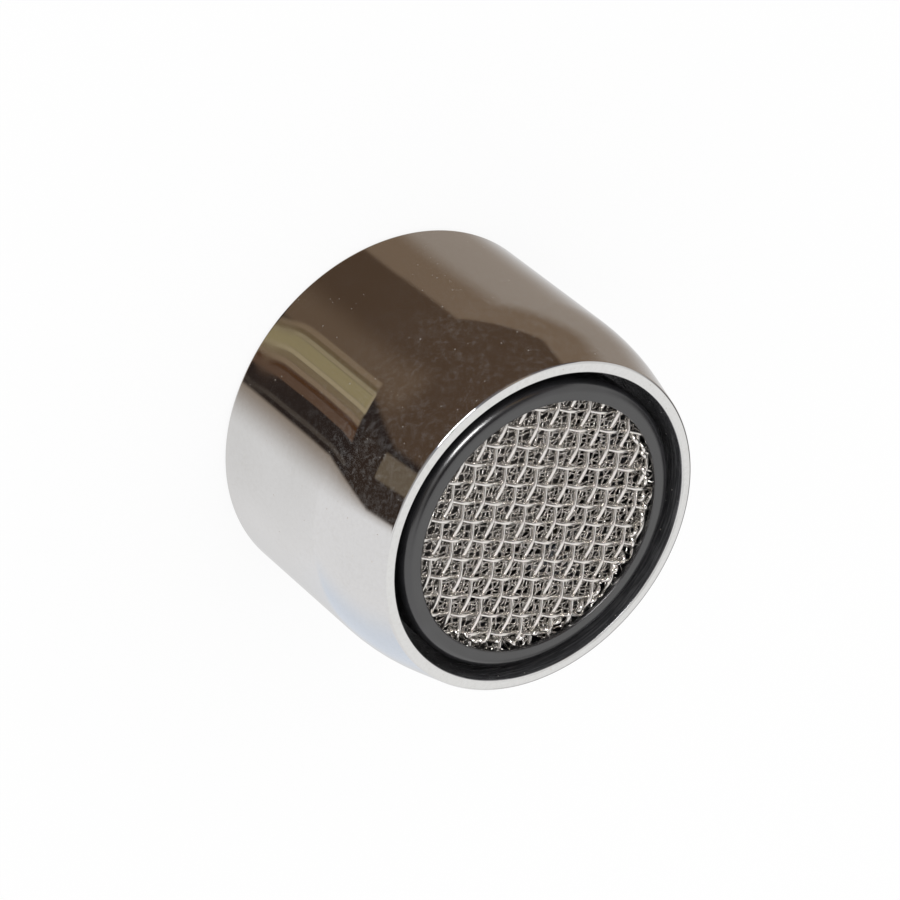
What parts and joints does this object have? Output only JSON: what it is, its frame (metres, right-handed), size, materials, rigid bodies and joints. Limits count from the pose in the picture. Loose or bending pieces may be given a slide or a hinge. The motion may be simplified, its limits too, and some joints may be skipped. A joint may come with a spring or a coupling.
{
  "type": "tap aerator",
  "caption": "Round chromed tap aerator: a threaded sleeve with a tapered outlet that holds a black insert with a strainer, a jet plate and woven outlet gauzes.",
  "frame": {"origin": "centre of the inlet end face, which the part stands on", "axes": "+Z along the flow from the threaded inlet to the outlet gauze; X and Y are any two directions across it"},
  "size_m": [0.024, 0.024, 0.0166],
  "materials": {
    "chrome_plate": "polished",
    "washer_rubber": "matte",
    "pale_plastic": "satin",
    "black_plastic": "satin",
    "steel_wire": "satin"
  },
  "bodies": {
    "root": {"housing": "chrome_plate", "sealing_washer": "washer_rubber", "strainer": "pale_plastic", "jet_plate": "black_plastic", "cage": "black_plastic", "screen_retainer": "black_plastic", "fine_screen": "steel_wire", "outlet_screen": "steel_wire"}
  },
  "joints": []
}
